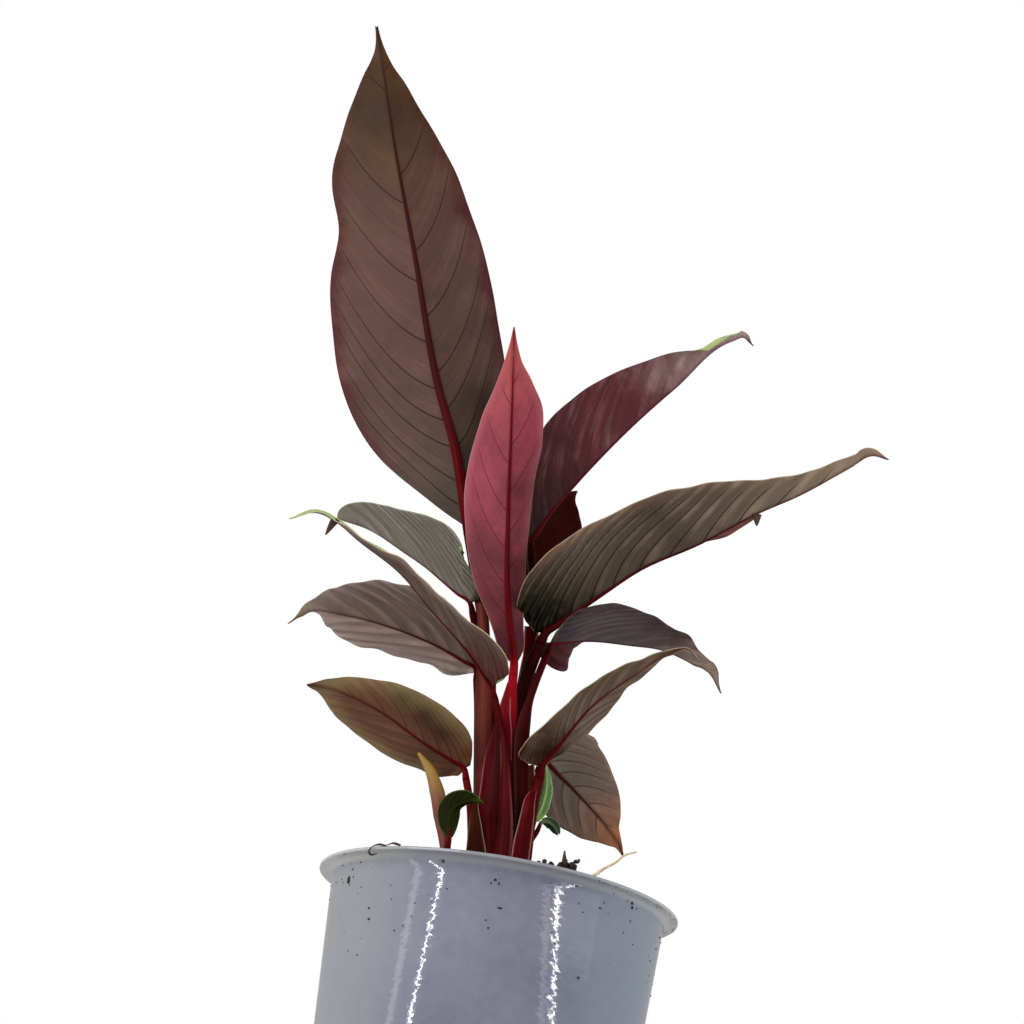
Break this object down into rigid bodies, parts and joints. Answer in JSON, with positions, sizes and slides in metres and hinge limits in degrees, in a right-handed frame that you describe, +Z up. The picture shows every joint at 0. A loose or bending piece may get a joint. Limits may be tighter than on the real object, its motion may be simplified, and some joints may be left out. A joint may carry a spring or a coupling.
{
  "type": "potted apoballis",
  "caption": "Leafy aroid house plant with long waved leaves on crimson stalks, growing in a round tapered plastic nursery pot filled with potting mix.",
  "frame": {"origin": "middle of the pot's flat base, on the floor", "axes": "+Z up along the pot's axis, -Y towards the side seen in the picture, +X to that view's right"},
  "size_m": [0.2369, 0.1365, 0.4824],
  "materials": {
    "pot": "gloss",
    "soil": "matte",
    "stem": "satin",
    "leaf_tall": "satin",
    "leaf_new_pink": "satin",
    "leaf_right_high": "satin",
    "leaf_right_broad": "satin",
    "leaf_right_arched": "satin",
    "leaf_right_low": "satin",
    "leaf_right_hanging": "satin",
    "leaf_left_high": "satin",
    "leaf_left_front": "satin",
    "leaf_left_middle": "satin",
    "leaf_left_low": "satin",
    "leaf_back_dark": "satin",
    "leaf_small_back": "satin",
    "leaf_tiny_back": "satin",
    "leaf_small_green": "satin",
    "bud_rolled": "satin",
    "root_pale": "matte"
  },
  "bodies": {
    "root": {"pot": "pot", "soil": "soil", "stem": "stem", "leaf_tall": "leaf_tall", "leaf_new_pink": "leaf_new_pink", "leaf_right_high": "leaf_right_high", "leaf_right_broad": "leaf_right_broad", "leaf_right_arched": "leaf_right_arched", "leaf_right_low": "leaf_right_low", "leaf_right_hanging": "leaf_right_hanging", "leaf_left_high": "leaf_left_high", "leaf_left_front": "leaf_left_front", "leaf_left_middle": "leaf_left_middle", "leaf_left_low": "leaf_left_low", "leaf_back_dark": "leaf_back_dark", "leaf_small_back": "leaf_small_back", "leaf_tiny_back": "leaf_tiny_back", "leaf_small_green": "leaf_small_green", "bud_rolled": "bud_rolled", "root_pale": "root_pale"}
  },
  "joints": []
}
